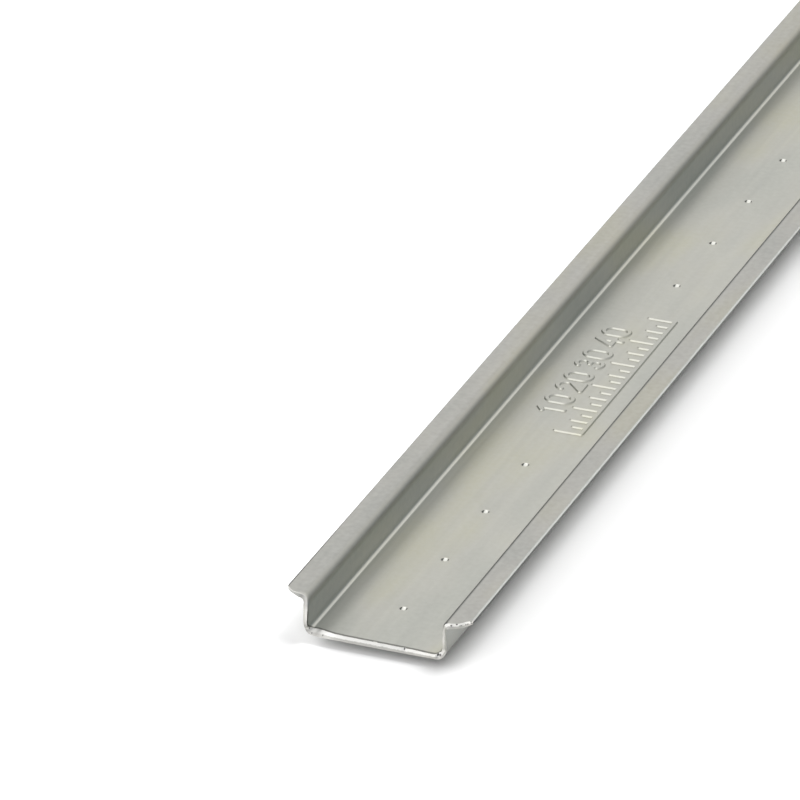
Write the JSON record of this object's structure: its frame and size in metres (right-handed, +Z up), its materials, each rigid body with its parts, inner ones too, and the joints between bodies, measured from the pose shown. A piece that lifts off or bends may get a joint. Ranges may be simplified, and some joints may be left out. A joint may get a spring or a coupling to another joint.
{
  "type": "din rail",
  "caption": "Straight top hat mounting rail of rolled zinc plated steel sheet, unperforated, with punched centre marks, for clip-on electrical devices.",
  "frame": {"origin": "middle of the underside of the base, half way along the rail", "axes": "+Y along the rail, from the near end with the short lip corners to the far end; +X across it; +Z up, out of the open channel"},
  "size_m": [0.035, 1, 0.0075],
  "materials": {
    "zinc_plated_steel": "zinc plated and passivated, satin, slightly warm grey"
  },
  "bodies": {
    "root": {"hat_rail": "zinc_plated_steel"}
  },
  "joints": []
}
